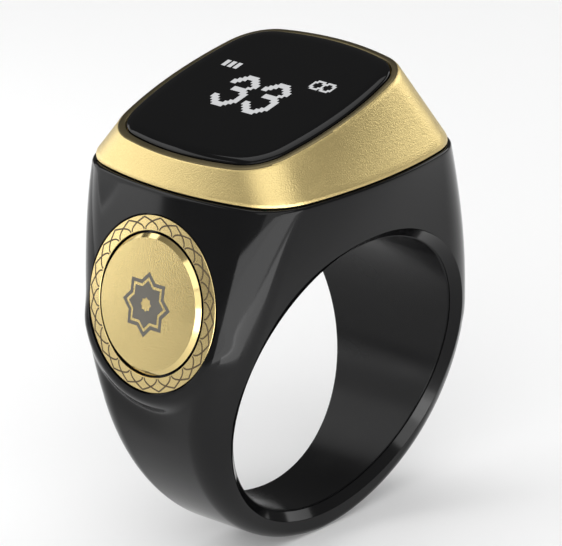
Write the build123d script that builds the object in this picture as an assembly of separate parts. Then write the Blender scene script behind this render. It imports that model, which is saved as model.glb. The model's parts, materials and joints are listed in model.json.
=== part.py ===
from build123d import *
from math import atan, cos, degrees, radians, sin, sqrt
import os

# Digital prayer counter worn as a finger ring, in millimetres.
# Y runs along the finger, Z points up to the display, and the button is on the -X side.
# The origin is the centre of the finger bore.

# Finger bore and the liner sleeve
bore_radius = 10.0
liner_wall = 0.7
liner_edge_chamfer = 0.4
liner_end_inset = 0.2

# Front and back faces of the body, which lean apart towards the display
axis_half_depth = 6.11
face_flare = 0.293

# Band of the body
side_wall = 3.0
bottom_wall = 2.1
side_corner = 3.2
bottom_corner = 0.6
near_corner_fade = 2.0
far_corner_fade = 1.0

# Rim of the head, whose four sides bow outwards
rim_half_length = 10.05
rim_corner = 4.1
rim_bow = 28.0
flat_bow = 2000.0
face_bow_growth = 3.0
far_side_bow_growth = 1.0
rim_round = 0.3
head_sections = 7
band_sections = 9

# Cavity in the head
cavity_wall_x = 1.45
cavity_wall_y = 2.45
cavity_corner = 2.5
cavity_floor_wall = 0.6

# Battery, its pad and tabs
battery_length = 12.0
battery_width = 10.0
battery_height = 2.4
battery_corner = 0.6
battery_gap = 0.2
pad_thickness = 0.15
tab_thickness = 0.1
tab_width = 1.2
tab_spacing = 4.0
tab_drop = 1.2

# Carrier frame, circuit board and its screws
frame_clearance = 0.2
board_clearance = 0.6
board_thickness = 0.6
board_corner = 1.5
rim_headroom = 0.05
screw_radius = 0.45
screw_length = 1.6
screw_head_radius = 0.7
screw_head_height = 0.3
screw_inset_x = 0.7
screw_inset_y = 0.65
flex_thickness = 0.1

# Chips on the board
chip_size = 3.0
chip_height = 0.6
chip_x = -1.6
chip_y = 3.6
small_chip_length = 1.0
small_chip_width = 0.5
small_chip_height = 0.45
small_chip_pitch = 1.1
small_chip_count = 5
small_chip_x = -2.6
small_chip_y = -5.6
crystal_length = 1.6
crystal_width = 1.2
crystal_height = 0.5
crystal_x = 1.8
crystal_y = 5.2

# Coin vibration motor
motor_radius = 3.0
motor_height = 1.9
motor_base_height = 0.2
motor_wall = 0.2
motor_x = 3.6
motor_shaft_radius = 0.3
motor_running_gap = 0.04
motor_air_gap = 0.35
rotor_height = 0.3
rotor_hub_radius = 0.8
weight_height = 0.6
weight_angle = 150.0

# Display: panel, and the cover glass above it in its seat in the bezel
display_tilt = 13.2
display_x = -0.95
panel_length = 11.6
panel_depth = 14.5
panel_thickness = 1.1
panel_clearance = 0.35
panel_pocket_corner = 0.8
glass_half_length = 7.65
glass_half_depth = 7.59
glass_corner = 3.0
glass_bow = 22.4
glass_thickness = 0.9
glass_proud = 0.25
glass_round = 0.2
glass_gap = 0.08
adhesive_thickness = 0.05
adhesive_inset = 0.1
window_length = 7.6
window_depth = 12.6
window_corner = 0.6
web_thickness = 0.45
motor_clearance = 0.15
panel_flex_width = 6.0
panel_flex_reach = 1.9
panel_flex_turn = 0.08
connector_height = 0.2
connector_length = 1.2

# Gold bezel and the seal under it
gasket_thickness = 0.15
gasket_inset = 0.2
gasket_margin = 0.15
rim_ledge = 0.22
bezel_foot_height = 0.3
lip_width = 0.5
lip_round = 0.3

# Button boss, trim plate and push button
button_height = 7.48
boss_proud = 0.18
boss_tilt = 1.17
boss_radius = 6.5
boss_depth = 2.0
boss_round = 0.35
plate_radius = 5.87
plate_thickness = 0.7
plate_proud = 0.05
plate_gap = 0.08
cap_radius = 4.7
cap_gap = 0.15
cap_proud = 0.4
cap_bevel = 0.25
flange_overlap = 0.45
flange_thickness = 0.3
flange_play = 0.05
flange_gap = 0.15
seal_thickness = 0.15
seal_bore_radius = 2.6
press_travel = 0.25
bottom_clearance = 0.05
post_radius = 0.6

# Switch behind the button
cover_drop = 0.05
cover_sheet = 0.1
cover_height = 2.9
cover_width = 3.3
switch_clearance = 0.05
plunger_radius = 0.7
plunger_gap = 0.1
plunger_foot_radius = 1.05
plunger_foot_thickness = 0.15
plunger_play = 0.02
dome_radius = 1.15
dome_rest = 0.08
dome_sheet = 0.06
base_thickness = 0.25
bracket_thickness = 0.15
switch_flex_width = 1.6
channel_clearance = 0.2

# Charging contacts in the panel at the top of the bore
cover_half_angle = 40.0
cover_half_depth = 5.0
cover_recess = 0.35
cover_thickness = 0.5
cover_gap = 0.03
contact_radius = 0.9
contact_spacing = 4.0
contact_head = 0.4
contact_stem_radius = 0.45
contact_gap = 0.02
charge_flex_length = 1.6
charge_flex_margin = 0.8

# Levels along Z, stacked up from the finger bore
liner_radius = bore_radius + liner_wall
cavity_floor = liner_radius + cavity_floor_wall
pad_level = cavity_floor + flex_thickness
battery_level = pad_level + pad_thickness
battery_top = battery_level + battery_height
board_level = battery_top + battery_gap
board_top = board_level + board_thickness
rim_height = board_top + rim_headroom
bezel_level = rim_height + gasket_thickness
foot_top = bezel_level + bezel_foot_height
motor_top = board_top + motor_height

# Outline of the body along the finger: a circle below, straight leaning sides above
body_half_length = bore_radius + side_wall
band_centre = body_half_length - bore_radius - bottom_wall
side_lean = degrees(atan((body_half_length - rim_half_length) / (rim_height - band_centre)))


def half_depth(height):
    """Half the body's depth along the finger at a height."""
    return axis_half_depth + face_flare * height


def rise_share(height):
    """How far a height is from the widest level up to the rim, from 0 to 1."""
    return max(0.0, (height - band_centre) / (rim_height - band_centre))


def half_length(height):
    """Half the body's length across the finger at a height."""
    if height > band_centre:
        return body_half_length - (body_half_length - rim_half_length) * rise_share(height)
    return sqrt(body_half_length**2 - (height - band_centre) ** 2)


# Rim and cavity in plan
rim_half_depth = half_depth(rim_height)
cavity_half_length = rim_half_length - cavity_wall_x
cavity_half_depth = rim_half_depth - cavity_wall_y

# Depths below the bezel's lip, along the tilted display's normal
glass_seat = glass_thickness - glass_proud + adhesive_thickness
panel_face = glass_seat + web_thickness
panel_back = panel_face + panel_thickness
tilt = radians(display_tilt)
motor_edge = motor_x - motor_radius
motor_edge_along = (motor_edge - display_x - panel_back * sin(tilt)) / cos(tilt)
flex_fold_top = board_top + connector_height + 2 * flex_thickness

# Height of the display: its panel clears the motor, and its low end clears the fold of its flex
height_over_motor = motor_top + motor_clearance - motor_edge_along * sin(tilt)
height_over_flex = flex_fold_top + panel_length / 2 * sin(tilt)
display_height = max(height_over_motor, height_over_flex) + panel_back * cos(tilt)
display_centre = (display_x, 0, display_height)
display_plane = Plane(display_centre, x_dir=(cos(tilt), 0, sin(tilt)), z_dir=(-sin(tilt), 0, cos(tilt)))

# Depths behind the boss face, along the button's travel
plate_back = plate_thickness - plate_proud
flange_front = plate_back + flange_play
flange_back = flange_front + flange_thickness
flange_radius = cap_radius + cap_gap + flange_overlap
plunger_tip = flange_back + seal_thickness + bottom_clearance
pocket_floor = flange_back + seal_thickness + press_travel + bottom_clearance
cover_level = pocket_floor + cover_drop
foot_level = cover_level + cover_sheet + plunger_play
dome_level = foot_level + plunger_foot_thickness
base_level = dome_level + press_travel + dome_rest
switch_flex_level = base_level + base_thickness
bracket_level = switch_flex_level + flex_thickness
switch_floor = bracket_level + bracket_thickness
pocket_half_height = cover_height / 2 + switch_clearance

# Place of the boss face: proud of the body's side, or of what keeps the switch clear of the liner
lean = radians(side_lean + boss_tilt)
pocket_corner_height = button_height - pocket_half_height * cos(lean) - switch_floor * sin(lean)
pocket_corner_reach = sqrt((liner_radius + switch_clearance) ** 2 - pocket_corner_height**2)
switch_reach = pocket_corner_reach - pocket_half_height * sin(lean) + switch_floor * cos(lean)
button_reach = max(half_length(button_height), switch_reach) + boss_proud / cos(lean)
button_centre = (-button_reach, 0, button_height)
button_plane = Plane(button_centre, x_dir=(sin(lean), 0, cos(lean)), z_dir=(cos(lean), 0, -sin(lean)))
button_axis = Axis(button_plane.origin, button_plane.z_dir)

# Planes of the pieces that stand upright
row_plane = Plane.XY
motor_plane = Plane((motor_x, 0, 0))


def disc(plane, radius, start, end):
    """Round slab between two levels along a plane's normal."""
    align = (Align.CENTER, Align.CENTER, Align.MIN)
    return plane.location * Pos(0, 0, start) * Cylinder(radius, end - start, align=align)


def ring(plane, outer, inner, start, end):
    """Flat ring between two levels along a plane's normal."""
    return disc(plane, outer, start, end) - disc(plane, inner, start, end)


def slab(plane, length, width, start, end, corner=0.0):
    """Rectangular slab, with rounded corners where a radius is given."""
    outline = RectangleRounded(length, width, corner) if corner else Rectangle(length, width)
    return plane.location * Pos(0, 0, start) * extrude(outline, amount=end - start, dir=(0, 0, 1))


def prism(plane, outline, start, end):
    """Outline drawn out between two levels along a plane's normal."""
    return plane.location * Pos(0, 0, start) * extrude(outline, amount=end - start, dir=(0, 0, 1))


def corner_centre(half_x, half_y, corner, side_bow, end_bow):
    """Centre of the corner arc that is tangent to a bowed side and a bowed end."""
    side = Vector(half_x - side_bow, 0)
    end = Vector(0, half_y - end_bow)
    side_reach = side_bow - corner
    end_reach = end_bow - corner
    apart = end - side
    along = (side_reach**2 - end_reach**2 + apart.length**2) / (2 * apart.length)
    across = sqrt(side_reach**2 - along**2)
    unit = apart.normalized()
    return side + unit * along + Vector(-unit.Y, unit.X) * across


def cushion_corner(half_x, half_y, corner, side_bow, end_bow):
    """Start, middle and end of one corner arc, from the side to the end."""
    centre = corner_centre(half_x, half_y, corner, side_bow, end_bow)
    to_side = (centre - Vector(half_x - side_bow, 0)).normalized()
    to_end = (centre - Vector(0, half_y - end_bow)).normalized()
    middle = (to_side + to_end).normalized()
    return [centre + way * corner for way in (to_side, middle, to_end)]


def cushion(half_x, half_y, corner, near_bow, far_bow, end_bow):
    """Cushion outline: four bowed sides joined by corner arcs; near is -X and far is +X."""
    far = cushion_corner(half_x, half_y, corner, far_bow, end_bow)
    near = cushion_corner(half_x, half_y, corner, near_bow, end_bow)
    far_up = [(p.X, p.Y) for p in far]
    far_down = [(p.X, -p.Y) for p in far]
    near_up = [(-p.X, p.Y) for p in near]
    near_down = [(-p.X, -p.Y) for p in near]
    edges = [
        ThreePointArc(far_down[0], (half_x, 0), far_up[0]),
        ThreePointArc(*far_up),
        ThreePointArc(far_up[2], (0, half_y), near_up[2]),
        ThreePointArc(*reversed(near_up)),
        ThreePointArc(near_up[0], (-half_x, 0), near_down[0]),
        ThreePointArc(*near_down),
        ThreePointArc(near_down[2], (0, -half_y), far_down[2]),
        ThreePointArc(*reversed(far_down)),
    ]
    return Face(Wire(edges))


def glass_outline(grow):
    """Outline of the cover glass, moved outwards by a distance."""
    bow = glass_bow + grow
    return cushion(glass_half_length + grow, glass_half_depth + grow, glass_corner + grow, bow, bow, bow)


def rim_outline(grow):
    """Outline of the body's rim, moved outwards by a distance."""
    bow = rim_bow + grow
    return cushion(rim_half_length + grow, rim_half_depth + grow, rim_corner + grow, bow, bow, bow)


def bow_at(share, growth):
    """Radius of a bowed side: flat at the widest level, fully bowed at the rim."""
    return 1 / (1 / flat_bow + (1 / rim_bow - 1 / flat_bow) * share**growth)


def head_section(height):
    """Level section of the body at a height above the finger axis."""
    share = rise_share(height)
    corner = side_corner + (rim_corner - side_corner) * share
    face_bow = bow_at(share, face_bow_growth)
    far_bow = bow_at(share, far_side_bow_growth)
    half_x = half_length(height)
    half_y = half_depth(height)
    return Pos(0, 0, height) * cushion(half_x, half_y, corner, face_bow, far_bow, face_bow)


def band_section(angle):
    """Section of the band in a plane through the finger axis, the corners rounder at the sides."""
    across, up = cos(angle), sin(angle)
    outer = band_centre * up + sqrt(body_half_length**2 - (band_centre * across) ** 2)
    fade = far_corner_fade if across > 0 else near_corner_fade
    corner = side_corner - (side_corner - bottom_corner) * abs(up) ** fade
    inner = bore_radius - side_corner
    inner_half = half_depth(inner * up)
    outer_half = half_depth(outer * up)
    points = [(inner, -inner_half), (outer, -outer_half), (outer, outer_half), (inner, inner_half)]
    outline = make_face(Polyline(points, close=True))
    outline = fillet(outline.vertices().group_by(Axis.X)[-1], corner)
    return Plane((0, 0, 0), x_dir=(across, 0, up), z_dir=(-up, 0, across)).location * outline


def bore_sector(outer, inner, half_angle, half_reach):
    """Curved panel round the top of the bore, between two radii."""
    spread = radians(half_angle)
    corner = (2 * outer * sin(spread), 2 * outer * cos(spread))
    wedge = make_face(Polyline((0, 0), (-corner[0], corner[1]), corner, close=True))
    ring_face = (Circle(outer) - Circle(inner)) & wedge
    return Plane.XZ.location * extrude(ring_face, amount=half_reach, both=True)


def bore_cylinder(radius):
    """Cylinder along the finger, longer than the body is deep."""
    return Rot(90, 0, 0) * Cylinder(radius, 4 * rim_half_depth)


def between_faces(inset):
    """Wedge of space between the front and back faces, moved inwards by a distance."""
    low = -2 * bore_radius
    high = 2 * bore_radius
    low_half = half_depth(low) - inset
    high_half = half_depth(high) - inset
    points = [(-low_half, low), (low_half, low), (high_half, high), (-high_half, high)]
    outline = make_face(Polyline(points, close=True))
    return Plane.YZ.location * extrude(outline, amount=2 * body_half_length, both=True)


def make_body():
    """Outer form of the ring's body, before anything is hollowed out: head and band."""
    levels = [rim_height * step / (head_sections - 1) for step in range(head_sections)]
    head = loft([head_section(level) for level in levels])
    angles = [radians(-180.0 * step / (band_sections - 1)) for step in range(band_sections)]
    band = loft([band_section(angle) for angle in angles])
    head = fillet(head.edges().group_by(Axis.Z)[-1], rim_round)
    return head + band


def make_ring_shell():
    """Body of the ring with its button boss, hollowed for everything that it holds."""
    boss = disc(button_plane, boss_radius, 0, boss_depth)
    boss = fillet(boss.edges().filter_by(GeomType.CIRCLE).sort_by(button_axis)[0], boss_round)
    shell = make_body() + boss
    shell -= bore_cylinder(liner_radius)
    length = 2 * cavity_half_length
    width = 2 * cavity_half_depth
    shell -= slab(row_plane, length, width, cavity_floor, rim_height, cavity_corner)
    shell -= disc(button_plane, plate_radius + plate_gap, -boss_depth, plate_back)
    shell -= disc(button_plane, flange_radius + flange_gap, 0, pocket_floor)
    shell -= switch_pocket()
    shell -= flex_channel(channel_clearance)
    shell -= cover_seat()
    shell -= contact_stems(contact_gap)
    return shell


def switch_pocket():
    """Space for the switch under the button."""
    width = cover_width + 2 * switch_clearance
    return slab(button_plane, 2 * pocket_half_height, width, flange_back, switch_floor)


def switch_flex_end():
    """Where the switch's flex meets the board's underside, along the boss face."""
    return (board_level - button_height + switch_flex_level * sin(lean)) / cos(lean)


def flex_channel(clearance):
    """Slot that the switch's flex runs in, from the switch to the board."""
    start = switch_flex_level - clearance
    end = switch_flex_level + flex_thickness + clearance
    reach = switch_flex_end() + clearance
    width = switch_flex_width + 2 * clearance
    slot = slab(button_plane, reach, width, start, end)
    return Pos(button_plane.x_dir * (reach / 2)) * slot


def cover_seat():
    """Recess in the body above the contact panel."""
    outer = bore_radius + cover_recess + cover_thickness + cover_gap
    gap_angle = degrees(cover_gap / bore_radius)
    inner = bore_radius - liner_wall
    return bore_sector(outer, inner, cover_half_angle + gap_angle, cover_half_depth + cover_gap)


def contact_places():
    """The two places of the charging contacts, along the finger."""
    return [Pos(0, side * contact_spacing / 2, 0) for side in (-1, 1)]


def contact_head_level():
    """Height of the contacts' skin side, level with the panel's own face."""
    return bore_radius + cover_recess


def contact_discs(radius, start, end):
    """A round slab at each charging contact."""
    return Part() + [place * disc(row_plane, radius, start, end) for place in contact_places()]


def contact_stems(gap):
    """Stems of the contacts, through the body to the charging flex."""
    start = contact_head_level() + contact_head
    return contact_discs(contact_stem_radius + gap, start, cavity_floor)


def make_inner_liner():
    """Sleeve with bevelled ends that follow the body's faces, open where the contact panel sits."""
    sleeve = bore_cylinder(liner_radius) & between_faces(liner_end_inset)
    sleeve -= bore_cylinder(bore_radius)
    ends = sleeve.edges().filter_by(lambda edge: on_bore(edge) and edge.geom_type != GeomType.LINE)
    sleeve = chamfer(ends, liner_edge_chamfer)
    return sleeve - cover_seat()


def on_bore(edge):
    """Whether an edge lies on the wall of the finger bore."""
    point = edge.position_at(0.3)
    return abs(sqrt(point.X**2 + point.Z**2) - bore_radius) < 0.1 * liner_wall


def make_contact_cover():
    """Curved panel at the top of the bore that holds the charging contacts."""
    inner = bore_radius + cover_recess
    panel = bore_sector(inner + cover_thickness, inner, cover_half_angle, cover_half_depth)
    return panel - contact_discs(contact_radius + contact_gap, bore_radius, cavity_floor)


def make_charging_contacts():
    """Two headed contact pins."""
    start = contact_head_level()
    return contact_discs(contact_radius, start, start + contact_head) + contact_stems(0)


def make_charge_flex():
    """Flex on the cavity's floor under the battery, turned up at its end to the board."""
    bay = battery_length / 2 + battery_gap
    width = contact_spacing + 2 * charge_flex_margin
    length = bay + charge_flex_length
    floor = slab(row_plane, length, width, cavity_floor, pad_level)
    riser = slab(row_plane, flex_thickness, width, cavity_floor, board_level)
    return Pos((charge_flex_length - bay) / 2, 0, 0) * floor + Pos(flex_thickness / 2 - bay, 0, 0) * riser


def make_battery_pad():
    """Foam pad under the battery."""
    return slab(row_plane, battery_length, battery_width, pad_level, battery_level, battery_corner)


def make_battery_cell():
    """Pouch cell."""
    cell = slab(row_plane, battery_length, battery_width, battery_level, battery_top, battery_corner)
    return fillet(cell.edges().group_by(Axis.Z)[-1], battery_corner / 2)


def make_battery_tabs():
    """Two nickel tabs from the cell's end up to the board."""
    start = battery_top - tab_drop
    tab = slab(row_plane, tab_thickness, tab_width, start, board_level)
    x = (battery_length + tab_thickness) / 2
    return Part() + [Pos(x, side * tab_spacing / 2, 0) * tab for side in (-1, 1)]


def screw_places():
    """The four corners where the board is screwed to the frame."""
    x = panel_length / 2 - screw_inset_x
    y = panel_depth / 2 - screw_inset_y
    return [Pos(sx * x, sy * y, 0) for sx in (-1, 1) for sy in (-1, 1)]


def screw_shanks():
    """Shanks of the board's screws."""
    shank = disc(row_plane, screw_radius, board_top - screw_length, board_top)
    return Part() + [place * shank for place in screw_places()]


def make_inner_frame():
    """Carrier frame round the battery, which holds the board."""
    length = 2 * (cavity_half_length - frame_clearance)
    width = 2 * (cavity_half_depth - frame_clearance)
    frame = slab(row_plane, length, width, cavity_floor, board_level, cavity_corner - frame_clearance)
    bay_length = battery_length + 2 * battery_gap
    bay_width = battery_width + 2 * battery_gap
    frame -= slab(row_plane, bay_length, bay_width, cavity_floor, board_level)
    return frame - flex_channel(channel_clearance) - screw_shanks()


def make_main_board():
    """Circuit board on the frame."""
    length = 2 * (cavity_half_length - board_clearance)
    width = 2 * (cavity_half_depth - board_clearance)
    return slab(row_plane, length, width, board_level, board_top, board_corner) - screw_shanks()


def make_frame_screws():
    """Four screws that hold the board on the frame."""
    head = disc(row_plane, screw_head_radius, board_top, board_top + screw_head_height)
    return screw_shanks() + [place * head for place in screw_places()]


def on_board(length, width, height, x, y):
    """A chip that stands on the board."""
    return Pos(x, y, 0) * slab(row_plane, length, width, board_top, board_top + height)


def make_board_components():
    """A row of small chips and the clock crystal."""
    chip = on_board(small_chip_width, small_chip_length, small_chip_height, small_chip_x, small_chip_y)
    row = [Pos(step * small_chip_pitch, 0, 0) * chip for step in range(small_chip_count)]
    crystal = on_board(crystal_length, crystal_width, crystal_height, crystal_x, crystal_y)
    return Part() + row + crystal


def display_point(along, depth):
    """A point in the display's own plane, as X and Z."""
    point = display_plane.origin + display_plane.x_dir * along - display_plane.z_dir * depth
    return point.X, point.Z


def flex_tail():
    """Where the display's flex ends on the board, along X."""
    bend = display_point(-panel_length / 2 - panel_flex_turn, panel_back - flex_thickness)
    return bend[0] + panel_flex_reach


def make_oled_flex():
    """Flex that leaves the panel's end, folds down and ends on its connector."""
    bottom = panel_back - flex_thickness
    edge = -panel_length / 2
    level = board_top + connector_height
    top_in = display_point(edge, bottom - flex_thickness)
    top_out = display_point(edge - panel_flex_turn - flex_thickness, bottom - flex_thickness)
    under_in = display_point(edge, bottom)
    under_out = display_point(edge - panel_flex_turn, bottom)
    tail_x = flex_tail()
    outline = [
        top_in,
        top_out,
        (top_out[0], level),
        (tail_x, level),
        (tail_x, level + flex_thickness),
        (under_out[0], level + flex_thickness),
        under_out,
        under_in,
    ]
    face = make_face(Polyline(outline, close=True))
    return Plane.XZ.location * extrude(face, amount=panel_flex_width / 2, both=True)


def make_flex_connector():
    """Connector on the board under the end of the display's flex."""
    x = flex_tail() - connector_length / 2
    return on_board(connector_length, panel_flex_width, connector_height, x, 0)


def make_bezel():
    """Wedge-shaped frame round the display, on a short upright foot."""
    foot = prism(row_plane, rim_outline(-rim_ledge), bezel_level, foot_top)
    lip = display_plane.location * glass_outline(glass_gap + lip_width)
    wedge = loft([Pos(0, 0, foot_top) * rim_outline(-rim_ledge), lip], ruled=True)
    wedge = fillet(wedge.edges().group_by(Axis(display_plane.origin, display_plane.z_dir))[-1], lip_round)
    bezel = foot + wedge
    bezel -= prism(display_plane, glass_outline(glass_gap), -glass_seat, glass_proud)
    bezel -= slab(display_plane, window_length, window_depth, -panel_back, 0, window_corner)
    pocket_length = panel_length + 2 * panel_clearance
    pocket_depth = panel_depth + 2 * panel_clearance
    drop = 2 * (display_height - bezel_level)
    bezel -= slab(display_plane, pocket_length, pocket_depth, -drop, -panel_face, panel_pocket_corner)
    relief = motor_radius + motor_clearance
    return bezel - disc(motor_plane, relief, bezel_level, motor_top + motor_clearance)


def make_bezel_gasket():
    """Flat seal between the body's rim and the bezel."""
    ring_face = prism(row_plane, rim_outline(-rim_ledge - gasket_inset), rim_height, bezel_level)
    length = 2 * (cavity_half_length + gasket_margin)
    width = 2 * (cavity_half_depth + gasket_margin)
    return ring_face - slab(row_plane, length, width, rim_height, bezel_level, cavity_corner + gasket_margin)


def make_display_glass():
    """Cover glass with a rounded upper edge."""
    bottom = adhesive_thickness - glass_seat
    glass = prism(display_plane, glass_outline(0), bottom, glass_proud)
    return fillet(glass.edges().group_by(Axis(display_plane.origin, display_plane.z_dir))[-1], glass_round)


def make_glass_adhesive():
    """Thin adhesive frame between the glass and its seat."""
    start = -glass_seat
    end = adhesive_thickness - glass_seat
    sheet = prism(display_plane, glass_outline(-adhesive_inset), start, end)
    return sheet - slab(display_plane, window_length, window_depth, start, end, window_corner)


def make_oled_panel():
    """Display panel under the bezel's web."""
    return slab(display_plane, panel_length, panel_depth, -panel_back, -panel_face)


motor_floor = board_top + motor_base_height
motor_roof = motor_top - motor_wall
rotor_level = motor_floor + motor_air_gap
rotor_radius = motor_radius - motor_wall - motor_air_gap
weight_level = rotor_level + rotor_height


def make_motor_can():
    """Cup over the motor."""
    can = disc(motor_plane, motor_radius, motor_floor, motor_top)
    return can - disc(motor_plane, motor_radius - motor_wall, motor_floor, motor_roof)


def make_motor_rotor():
    """Flat disc that turns on the motor's shaft."""
    inner = motor_shaft_radius + motor_running_gap
    return ring(motor_plane, rotor_radius, inner, rotor_level, weight_level)


def make_motor_weight():
    """Part-ring weight on one side of the rotor."""
    band = ring(motor_plane, rotor_radius, rotor_hub_radius, weight_level, weight_level + weight_height)
    spread = radians(weight_angle / 2)
    corner = (2 * motor_radius * cos(spread), 2 * motor_radius * sin(spread))
    far = 2 * motor_radius
    points = [(0, 0), corner, (far, corner[1]), (far, -corner[1]), (corner[0], -corner[1])]
    wedge = make_face(Polyline(points, close=True))
    return band & prism(motor_plane, wedge, weight_level, weight_level + weight_height)


def make_trim_plate():
    """Ring round the button, which also holds the button in."""
    return ring(button_plane, plate_radius, cap_radius + cap_gap, -plate_proud, plate_back)


def make_button_cap():
    """Push button with a bevelled face, a flange under the trim plate and a post for the switch."""
    cap = disc(button_plane, cap_radius, -cap_proud, flange_front)
    cap = chamfer(cap.edges().filter_by(GeomType.CIRCLE).sort_by(button_axis)[0], cap_bevel)
    cap += disc(button_plane, flange_radius, flange_front, flange_back)
    return cap + disc(button_plane, post_radius, flange_back, plunger_tip)


def make_button_seal():
    """Soft ring bonded under the button's flange."""
    return ring(button_plane, flange_radius, seal_bore_radius, flange_back, flange_back + seal_thickness)


def make_switch_plunger():
    """Plunger of the switch, kept in by its foot."""
    stem = disc(button_plane, plunger_radius, plunger_tip, foot_level)
    return stem + disc(button_plane, plunger_foot_radius, foot_level, dome_level)


def make_switch_cover():
    """Sheet cover of the switch with a hole for the plunger."""
    cover = slab(button_plane, cover_height, cover_width, cover_level, switch_flex_level)
    inner_height = cover_height - 2 * cover_sheet
    inner_width = cover_width - 2 * cover_sheet
    cover -= slab(button_plane, inner_height, inner_width, cover_level + cover_sheet, switch_flex_level)
    return cover - disc(button_plane, plunger_radius + plunger_gap, cover_level, cover_level + cover_sheet)


def make_switch_dome():
    """Domed snap spring between the switch's base and its plunger."""
    rise = base_level - dome_level
    sphere_radius = (dome_radius**2 + rise**2) / (2 * rise)
    ball = Sphere(sphere_radius) - Sphere(sphere_radius - dome_sheet)
    ball = button_plane.location * Pos(0, 0, dome_level + sphere_radius) * ball
    return ball & disc(button_plane, dome_radius, dome_level, base_level)


def make_switch_base():
    """Moulded base of the switch."""
    inner_height = cover_height - 2 * cover_sheet
    inner_width = cover_width - 2 * cover_sheet
    return slab(button_plane, inner_height, inner_width, base_level, switch_flex_level)


def make_switch_flex():
    """Flex that carries the switch and runs up to the board."""
    start = -cover_height / 2
    end = switch_flex_end() - flex_thickness
    strip = slab(button_plane, end - start, switch_flex_width, switch_flex_level, bracket_level)
    return Pos(button_plane.x_dir * ((start + end) / 2)) * strip


def make_switch_bracket():
    """Stiff plate behind the switch."""
    return slab(button_plane, cover_height, cover_width, bracket_level, switch_floor)


nodes = {
    "ring_shell": make_ring_shell(),
    "inner_liner": make_inner_liner(),
    "contact_cover": make_contact_cover(),
    "charging_contacts": make_charging_contacts(),
    "charge_flex": make_charge_flex(),
    "bezel": make_bezel(),
    "bezel_gasket": make_bezel_gasket(),
    "display_glass": make_display_glass(),
    "glass_adhesive": make_glass_adhesive(),
    "oled_panel": make_oled_panel(),
    "oled_flex": make_oled_flex(),
    "flex_connector": make_flex_connector(),
    "main_board": make_main_board(),
    "controller_chip": on_board(chip_size, chip_size, chip_height, chip_x, chip_y),
    "board_components": make_board_components(),
    "inner_frame": make_inner_frame(),
    "frame_screws": make_frame_screws(),
    "battery_cell": make_battery_cell(),
    "battery_pad": make_battery_pad(),
    "battery_tabs": make_battery_tabs(),
    "motor_base": disc(motor_plane, motor_radius, board_top, motor_floor),
    "motor_can": make_motor_can(),
    "motor_shaft": disc(motor_plane, motor_shaft_radius, motor_floor, motor_roof),
    "motor_rotor": make_motor_rotor(),
    "motor_weight": make_motor_weight(),
    "trim_plate": make_trim_plate(),
    "button_cap": make_button_cap(),
    "button_seal": make_button_seal(),
    "switch_plunger": make_switch_plunger(),
    "switch_cover": make_switch_cover(),
    "switch_dome": make_switch_dome(),
    "switch_base": make_switch_base(),
    "switch_flex": make_switch_flex(),
    "switch_bracket": make_switch_bracket(),
}

os.makedirs("parts", exist_ok=True)
for name, shape in nodes.items():
    export_step(shape, f"parts/{name}.step")
print("button travel direction", tuple(round(value, 5) for value in button_plane.z_dir))
print("button centre", tuple(round(value, 3) for value in button_centre))
print("display centre", tuple(round(value, 3) for value in display_centre))
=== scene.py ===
import json
import math

import bmesh
import bpy
import numpy as np
from mathutils import Matrix, Vector


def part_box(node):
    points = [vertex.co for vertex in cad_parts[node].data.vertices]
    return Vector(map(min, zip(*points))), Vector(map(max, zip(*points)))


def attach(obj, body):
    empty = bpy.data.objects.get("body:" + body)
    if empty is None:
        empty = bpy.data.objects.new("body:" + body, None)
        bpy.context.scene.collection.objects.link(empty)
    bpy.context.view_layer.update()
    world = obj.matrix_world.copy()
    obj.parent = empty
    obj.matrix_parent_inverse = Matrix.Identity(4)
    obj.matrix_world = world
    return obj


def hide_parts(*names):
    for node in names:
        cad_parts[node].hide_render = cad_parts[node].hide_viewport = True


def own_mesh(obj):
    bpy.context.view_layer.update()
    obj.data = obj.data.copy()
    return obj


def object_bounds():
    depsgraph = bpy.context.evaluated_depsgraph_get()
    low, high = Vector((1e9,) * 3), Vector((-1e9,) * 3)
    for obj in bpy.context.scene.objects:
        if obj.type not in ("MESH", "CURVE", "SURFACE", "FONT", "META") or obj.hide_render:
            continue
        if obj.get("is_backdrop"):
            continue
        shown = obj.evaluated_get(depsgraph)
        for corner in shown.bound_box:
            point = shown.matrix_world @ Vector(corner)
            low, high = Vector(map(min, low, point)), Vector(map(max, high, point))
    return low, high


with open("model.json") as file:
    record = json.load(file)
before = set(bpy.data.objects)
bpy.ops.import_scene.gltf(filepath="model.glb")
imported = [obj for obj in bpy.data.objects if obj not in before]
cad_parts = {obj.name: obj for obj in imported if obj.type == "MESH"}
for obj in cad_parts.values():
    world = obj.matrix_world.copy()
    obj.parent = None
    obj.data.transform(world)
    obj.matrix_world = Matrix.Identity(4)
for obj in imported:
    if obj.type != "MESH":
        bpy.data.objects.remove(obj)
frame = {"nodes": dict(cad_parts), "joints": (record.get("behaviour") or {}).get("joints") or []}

cad_low, cad_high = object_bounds()

# Ring body
# One moulding in piano-black plastic: a square head that bows out at its rim and runs down into a narrow
# band. The side under the button swells into a round boss. All its edges are softly rounded and polished.
mm = 0.001
bore_seat = 10.7 * mm
bore_edge_round = 0.04 * mm
body_half_length = 13.0 * mm
band_centre = 0.9 * mm
button_side_narrow, button_side_rim = 0.42 * mm, 0.1 * mm
button_side_lean, narrow_fade = 0.2, 0.7
axis_half_depth = 6.11 * mm
face_flare = 0.293
rim_height = 14.8 * mm
rim_half_length = 10.05 * mm
side_swell, side_blend = 0.6 * mm, 0.2 * mm
rim_round = 0.2 * mm
rim_corner = 4.1 * mm
rim_bow = 28.0 * mm
flat_bow = 2000.0 * mm
side_corner = {1: 3.2 * mm, -1: 2.6 * mm}
corner_growth = {1: 1.0, -1: 1.4}
bottom_corner = 0.6 * mm
corner_fade = 1.5
side_bow_growth = {1: 1.0, -1: 5.0}
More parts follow.
